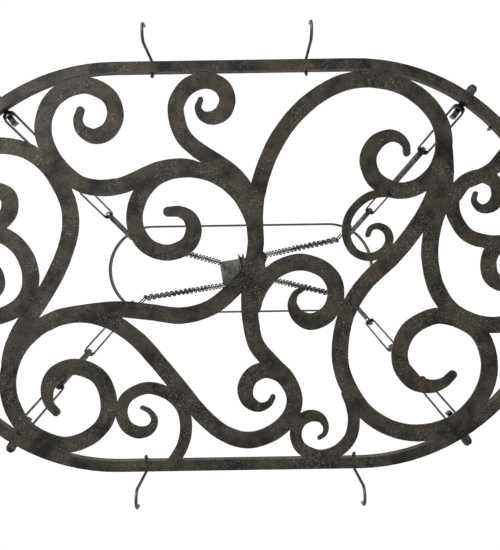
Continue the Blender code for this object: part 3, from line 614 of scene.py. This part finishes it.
def make_lug(number, corner, material):
    """A flat bar across the rim: round outside, narrowed to a tongue with an upturned end inside."""
    out = outward(corner, lug_angle(corner))
    start = ring_place(corner, RING_MIDDLE, RING_TOP + GAP + LUG_THICK / 2)
    outer = RING_BAR / 2 + LUG_OUTSIDE
    half = LUG_WIDTH / 2
    tongue = TONGUE_WIDTH / 2
    rows = [(-RING_BAR / 2 - LUG_INSIDE, tongue), (-RING_BAR / 2 - 0.001, tongue), (0, half)]
    rows.append((outer - half, half))
    for angle in (20, 40, 57, 70):
        turn = math.radians(angle)
        rows.append((outer - half + half * math.sin(turn), half * math.cos(turn)))
    points = [start + out * x for x, _ in rows]
    bar = ribbon(points, half, LUG_THICK, False, 0.0005, [w / half for _, w in rows], math.pi / 2)
    foot = start - out * (RING_BAR / 2 + LUG_INSIDE - LUG_THICK / 2)
    path = [foot, foot + UP * (LUG_THICK / 2 + TONGUE_STOP)]
    bpy.ops.object.select_all(action="DESELECT")
    bpy.ops.mesh.primitive_cube_add(size=1, location=(0, 0, 0))
    stop = bpy.context.object
    scale = Matrix.Diagonal((LUG_THICK, TONGUE_WIDTH, (path[1] - path[0]).length, 1))
    side = UP.cross(out)
    turn = Matrix((out, side, UP)).transposed().to_4x4()
    stop.data.transform(Matrix.Translation((path[0] + path[1]) / 2) @ turn @ scale)
    corner_round = stop.modifiers.new("corner", "BEVEL")
    corner_round.width = 0.0005
    corner_round.segments = 2
    settle(stop)
    combine(bar, stop, "UNION")
    name = f"lug_{number}"
    finish_piece(bar, name, material, "rack", [f"hanger_lug_{number}"], 30)


def flat_link(length):
    """One long link of flat strip, its length on X and its width on Y."""
    radius = (FLAT_WIDTH - FLAT_THICK) / 2
    path = oval(radius, length - 2 * radius, 0, 10)
    return ribbon(path, FLAT_WIDE / 2, FLAT_THICK, True, 0.0004)


def make_run(number, corner, material):
    start, end, along = run_line(corner)
    flat = outward(corner, HOOP_ANGLE)
    flat = (flat - along * flat.dot(along)).normalized()
    level = along.cross(flat).normalized()
    inner = FLAT_WIDTH / 2 - FLAT_THICK
    hold = FLAT_THICK + 2 * (inner - math.sqrt(inner**2 - (FLAT_WIDE / 2) ** 2)) + GAP
    length = ((end - start).length + (FLAT_LINKS - 1) * hold) / FLAT_LINKS
    model = flat_link(length)
    links = []
    for k in range(FLAT_LINKS):
        centre = start + along * ((length - hold) * k + length / 2)
        links.append(copy_of(model, stand(centre, along, flat if k % 2 else level)))
    bpy.data.objects.remove(model)
    run = joined(links)
    name = f"long_links_{number}"
    finish_piece(run, name, material, f"links_{number}", [f"flat_links_{number}"], 30)


# ---------------------------------------------------------------- chains and hooks


def round_link(length):
    radius = (CHAIN_WIDE - CHAIN_WIRE) / 2
    bpy.ops.object.select_all(action="DESELECT")
    bpy.ops.mesh.primitive_torus_add(
        major_radius=radius, minor_radius=CHAIN_WIRE / 2, major_segments=16, minor_segments=8
    )
    link = bpy.context.object
    for side in (-1, 1):
        for vert in link.data.vertices:
            vert.select = vert.co.x * side > 0.0001
        for other in list(link.data.edges) + list(link.data.polygons):
            other.select = False
        only(link)
        bpy.ops.object.mode_set(mode="EDIT")
        bpy.ops.transform.translate(value=(side * (length / 2 - radius), 0, 0))
        bpy.ops.object.mode_set(mode="OBJECT")
    return link


def make_chain(number, corner, material):
    start, end, along = chain_line(corner)
    level = UP.cross(along).normalized()
    across = along.cross(level).normalized()
    hold = CHAIN_WIRE + 0.0001
    length = ((end - start).length + (CHAIN_LINKS + 1) * hold) / CHAIN_LINKS
    hook_side = outward(corner, HOOK_ANGLE).cross(UP)
    twist = math.atan2(hook_side.dot(across), hook_side.dot(level))
    twist -= math.pi * round(twist / math.pi)
    model = round_link(length)
    links = []
    for k in range(CHAIN_LINKS):
        centre = start + along * ((length - hold) * k + length / 2 - hold)
        turn = k * math.pi / 2 + twist * k / (CHAIN_LINKS - 1) + 0.12 * math.sin(k * 2.4)
        wide = math.cos(turn) * level + math.sin(turn) * across
        links.append(copy_of(model, stand(centre, along, wide)))
    bpy.data.objects.remove(model)
    chain = joined(links)
    name = f"chain_{number}_links"
    replaced = [f"upper_chain_{number}"]
    finish_piece(chain, name, material, f"chain_{number}", replaced, 60)


def make_eye(number, corner, material):
    centre = eye_centre(corner)
    along = chain_line(corner)[2]
    level = UP.cross(along).normalized()
    bpy.ops.object.select_all(action="DESELECT")
    bpy.ops.mesh.primitive_torus_add(
        major_radius=EYE_RADIUS, minor_radius=EYE_WIRE / 2, major_segments=28, minor_segments=10
    )
    eye = bpy.context.object
    eye.data.transform(stand(centre, along, along.cross(level)))
    finish_piece(eye, f"eye_{number}", material, "ceiling", [f"corner_eye_{number}"], 60)


def make_hoop_hook(number, corner, material):
    place = hoop_place(corner, HOOK_ANGLE)
    out = outward(corner, HOOK_ANGLE)
    half, thick, bend = HOOK_HALF, HOOK_WIRE, HOOK_BEND
    under = HOOP_HEIGHT / 2 + GAP + thick / 2
    top = HOOP_HEIGHT / 2 + HOOK_RISE
    centre = top - bend
    outline = [
        (-half * 0.95, under * 0.45),
        (-half, 0),
        (-half * 0.85, -under * 0.6),
        (-half * 0.45, -under * 0.93),
        (0, -under),
        (half * 0.45, -under * 0.93),
        (half * 0.85, -under * 0.6),
        (half, 0),
        (half * 0.9, under * 0.7),
        (half * 0.35, under + thick),
        (-bend * 0.85, centre - bend * 0.5),
        (-bend, centre),
        (-bend * 0.71, centre + bend * 0.71),
        (0, top),
        (bend * 0.71, centre + bend * 0.71),
        (bend, centre),
        (bend * 0.9, centre - bend * 0.45),
    ]
    lean = Vector((corner[0] * HOOK_LEAN, corner[1] * HOOK_SIDE_LEAN, 0))
    points = []
    for x, z in outline:
        points.append(place + out * x + UP * z - lean * max(0, z - HOOP_HEIGHT / 2) / HOOK_RISE)
    hook = wire(smooth_curve(points, 4), thick / 2)
    finish_piece(hook, f"s_hook_{number}", material, "hoop", [f"hoop_hook_{number}"], 60)


# ---------------------------------------------------------------- pot hooks

POT_WIRE, POT_BEND, POT_LOWER, POT_DROP = 0.0045, 0.0118, 0.013, 0.080
POT_TIP_ABOVE = 0.003
POT_PLACES = (
    ("straight", -0.122, -1),
    ("straight", 0.110, -1),
    ("straight", -0.140, 1),
    ("straight", 0.173, 1),
    ("cap", math.radians(-44), 1),
    ("cap", math.radians(12), 1),
    ("cap", math.radians(-16), -1),
    ("cap", math.radians(24), -1),
)


def pot_place(kind, place, side):
    if kind == "straight":
        return Vector((place, side * RING_MIDDLE, RING_TOP)), Vector((0, side, 0))
    out = Vector((side * math.cos(place), math.sin(place), 0))
    return Vector((side * RING_STRAIGHT / 2, 0, RING_TOP)) + out * RING_MIDDLE, out


def make_pot_hook(number, kind, place, side, material):
    top, out = pot_place(kind, place, side)
    inside = POT_BEND - POT_WIRE / 2 - 0.0009
    centre = -math.sqrt(inside**2 - (RING_BAR / 2) ** 2)
    foot = -RING_DEPTH - POT_DROP + POT_WIRE / 2
    outline = [(-POT_BEND, SCROLL_THICK + POT_TIP_ABOVE - RING_DEPTH), (-POT_BEND, centre * 1.05)]
    for i in range(1, 16):
        angle = math.pi * (1 - i / 16)
        outline.append((POT_BEND * math.cos(angle), centre + POT_BEND * math.sin(angle)))
    outline += [(POT_BEND, centre), (POT_BEND, centre - 0.02), (POT_BEND, (centre + foot) / 2)]
    low = foot + POT_LOWER
    outline.append((POT_BEND, low + 0.01))
    for i in range(0, 15):
        angle = math.pi * (1 + i / 14)
        x = POT_BEND + POT_LOWER * (1 + math.cos(angle))
        outline.append((x, low + POT_LOWER * math.sin(angle)))
    outline.append((POT_BEND + 2.05 * POT_LOWER, low + POT_LOWER * 0.62))
    hook = wire([top + out * x + UP * z for x, z in outline], POT_WIRE / 2)
    node = f"pot_hook_{number}"
    finish_piece(hook, f"pan_hook_{number}", material, node, [node], 60)


# ---------------------------------------------------------------- ceiling plate and pulley


def turned(profile, centre, axis, steps=64):
    """Turns a closed profile of (radius, place along the axis) into a solid ring."""
    bpy.ops.object.select_all(action="DESELECT")
    bpy.ops.mesh.primitive_circle_add(vertices=len(profile), radius=0.01, fill_type="NOTHING")
    obj = bpy.context.object
    for vert, (radius, along) in zip(obj.data.vertices, profile):
        vert.co = (radius, 0, along)
    obj.data.update()
    edit(obj, "EDGE")
    bpy.ops.mesh.spin(steps=steps, angle=2 * math.pi, center=(0, 0, 0), axis=(0, 0, 1))
    bpy.ops.mesh.select_all(action="SELECT")
    bpy.ops.mesh.remove_doubles(threshold=0.00002)
    bpy.ops.mesh.normals_make_consistent(inside=False)
    bpy.ops.object.mode_set(mode="OBJECT")
    first = UP.cross(axis).normalized()
    turn = Matrix((first, axis.cross(first), axis)).transposed().to_4x4()
    obj.data.transform(Matrix.Translation(centre) @ turn)
    return obj


def make_sheave(material):
    radius, half, bottom = 0.052, 0.009, 0.043
    profile = [
        (0.0056, -half),
        (0.0156, -half),
        (0.0172, -half * 0.6),
        (bottom - 0.006, -half * 0.6),
        (bottom - 0.002, -half),
        (radius - 0.0006, -half),
        (radius, -half + 0.0008),
        (radius, -half * 0.6),
        (radius - 0.002, -half * 0.5),
        (bottom + 0.0025, -half * 0.36),
        (bottom + 0.0004, -half * 0.2),
        (bottom, 0),
        (bottom + 0.0004, half * 0.2),
        (bottom + 0.0025, half * 0.36),
        (radius - 0.002, half * 0.5),
        (radius, half * 0.6),
        (radius, half - 0.0008),
        (radius - 0.0006, half),
        (bottom - 0.002, half),
        (bottom - 0.006, half * 0.6),
        (0.0172, half * 0.6),
        (0.0156, half),
        (0.0056, half),
    ]
    wheel = turned(profile, AXLE_CENTRE, PLATE_LONG)
    finish_piece(wheel, "grooved_wheel", material, "sheave", ["pulley_sheave"], 35)


def make_plate(material):
    bpy.ops.object.select_all(action="DESELECT")
    bpy.ops.mesh.primitive_cube_add(size=1, location=(0, 0, 0))
    plate = bpy.context.object
    scale = Matrix.Diagonal((PLATE_LENGTH, PLATE_WIDTH, PLATE_THICK, 1))
    plate.data.transform(scale)
    corner = plate.modifiers.new("corner", "BEVEL")
    corner.width = 0.0007
    corner.segments = 2
    settle(plate)
    for side in (-1, 1):
        bpy.ops.object.select_all(action="DESELECT")
        bpy.ops.mesh.primitive_cylinder_add(
            vertices=32, radius=0.0028, depth=0.02, location=(side * 0.046, 0, 0)
        )
        hole = bpy.context.object
        combine(plate, hole, "DIFFERENCE")
    turn = Matrix.Rotation(PLATE_TURN, 4, "Z")
    plate.data.transform(Matrix.Translation((0, 0, -PLATE_THICK / 2)) @ turn)
    face_outward(plate)
    finish_piece(plate, "top_plate", material, "ceiling", ["ceiling_plate"], 30)


def paint_kept_nodes(finishes):
    """The plain pieces that are shown as they are get their finish."""
    for name, material in finishes.items():
        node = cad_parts[name]
        node.data.materials.clear()
        node.data.materials.append(material)


# ---------------------------------------------------------------- build

set_camera()
set_light()
lay_floor()

iron = mottled(
    "scaled_iron", (0.0022, 0.0018, 0.0013), (0.025, 0.0212, 0.0163), (0.029, 0.0208, 0.013),
    (0.15, 0.136, 0.115), 0.35, 0.5, 0.5, 1.0, 0,
)
strip = mottled(
    "strip_steel", (0.012, 0.012, 0.011), (0.035, 0.034, 0.032), (0.1, 0.098, 0.094),
    (0.34, 0.33, 0.32), 0.85, 0.24, 0.2, 2.0, 0,
)
chain_metal = mottled(
    "chain_steel", (0.01, 0.0095, 0.009), (0.03, 0.029, 0.027), (0.09, 0.088, 0.084),
    (0.3, 0.29, 0.28), 0.9, 0.22, 0.15, 3.0, 0,
)
plate_metal = mottled(
    "plate_steel", (0.022, 0.022, 0.020), (0.062, 0.062, 0.057), (0.09, 0.088, 0.08),
    (0.22, 0.215, 0.2), 0.35, 0.5, 0.4, 1.6, 0,
)
black_iron = mottled(
    "black_iron", (0.016, 0.016, 0.015), (0.03, 0.03, 0.029), (0.045, 0.044, 0.042),
    (0.09, 0.088, 0.085), 0.55, 0.5, 0.25, 2.0,
)
hook_metal = mottled(
    "hook_steel", (0.014, 0.014, 0.014), (0.03, 0.03, 0.03), (0.05, 0.05, 0.05),
    (0.12, 0.12, 0.12), 0.8, 0.38, 0.15, 3.0,
)

make_grille(iron)
make_ring(iron)
make_hoop(black_iron)
for index, place in enumerate(CORNERS, 1):
    make_lug(index, place, strip)
    make_run(index, place, strip)
    make_chain(index, place, chain_metal)
    make_eye(index, place, chain_metal)
    make_hoop_hook(index, place, hook_metal)
for index, (kind, where, side) in enumerate(POT_PLACES, 1):
    make_pot_hook(index, kind, where, side, hook_metal)
make_sheave(black_iron)
make_plate(plate_metal)
paint_kept_nodes(
    {
        "ceiling_screw_1": black_iron,
        "ceiling_screw_2": black_iron,
        "pulley_bracket": black_iron,
        "pulley_axle": hook_metal,
    }
)

bpy.context.view_layer.update()
